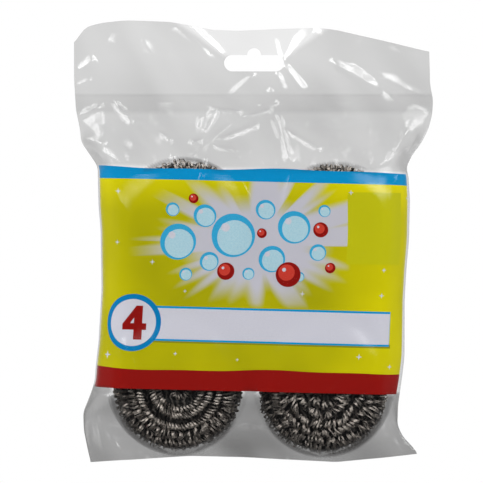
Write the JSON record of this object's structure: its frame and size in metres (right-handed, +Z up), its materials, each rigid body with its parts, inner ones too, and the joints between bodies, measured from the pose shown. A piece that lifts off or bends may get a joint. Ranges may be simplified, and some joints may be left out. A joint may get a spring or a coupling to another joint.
{
  "type": "pot scrubber pack",
  "caption": "Round pot scrubbers of coiled stainless steel strand in a clear film header bag, with printed label cards and a punched slot to hang it by.",
  "frame": {"origin": "middle of the round notch at the top of the hang slot, midway through the film", "axes": "+X to the right of the pack's printed front, +Y from the front to the back, +Z up as it hangs"},
  "size_m": [0.191, 0.034, 0.2356],
  "materials": {
    "clear_film": "clear, glossy and creased",
    "printed_card": "satin print",
    "steel_strand": "bright curled ribbon"
  },
  "bodies": {
    "header": {"header_strip": "clear_film"},
    "pouch": {"bag_front_panel": "clear_film", "bag_back_panel": "clear_film", "front_label": "printed_card", "back_label": "printed_card"},
    "top_left_scourer": {"top_left_scourer_outer_turns": "steel_strand", "top_left_scourer_inner_turns": "steel_strand"},
    "top_right_scourer": {"top_right_scourer_outer_turns": "steel_strand", "top_right_scourer_inner_turns": "steel_strand"},
    "bottom_left_scourer": {"bottom_left_scourer_outer_turns": "steel_strand", "bottom_left_scourer_inner_turns": "steel_strand"},
    "bottom_right_scourer": {"bottom_right_scourer_outer_turns": "steel_strand", "bottom_right_scourer_inner_turns": "steel_strand"}
  },
  "joints": [
    {"name": "header_fold", "type": "hinge", "parent": "header", "child": "pouch", "pos_m": [-0.0008, 0, -0.0256], "axis": [1, 0, 0], "range_deg": [-120, 120]},
    {"name": "top_left_scourer_turn", "type": "hinge", "parent": "pouch", "child": "top_left_scourer", "pos_m": [-0.0373, 0, -0.0919], "axis": [0, 1, 0], "continuous": true},
    {"name": "top_right_scourer_turn", "type": "hinge", "parent": "pouch", "child": "top_right_scourer", "pos_m": [0.04295, 0, -0.0943], "axis": [0, 1, 0], "continuous": true},
    {"name": "bottom_left_scourer_turn", "type": "hinge", "parent": "pouch", "child": "bottom_left_scourer", "pos_m": [-0.04055, 0, -0.1763], "axis": [0, 1, 0], "continuous": true},
    {"name": "bottom_right_scourer_turn", "type": "hinge", "parent": "pouch", "child": "bottom_right_scourer", "pos_m": [0.03682, 0, -0.1775], "axis": [0, 1, 0], "continuous": true}
  ]
}
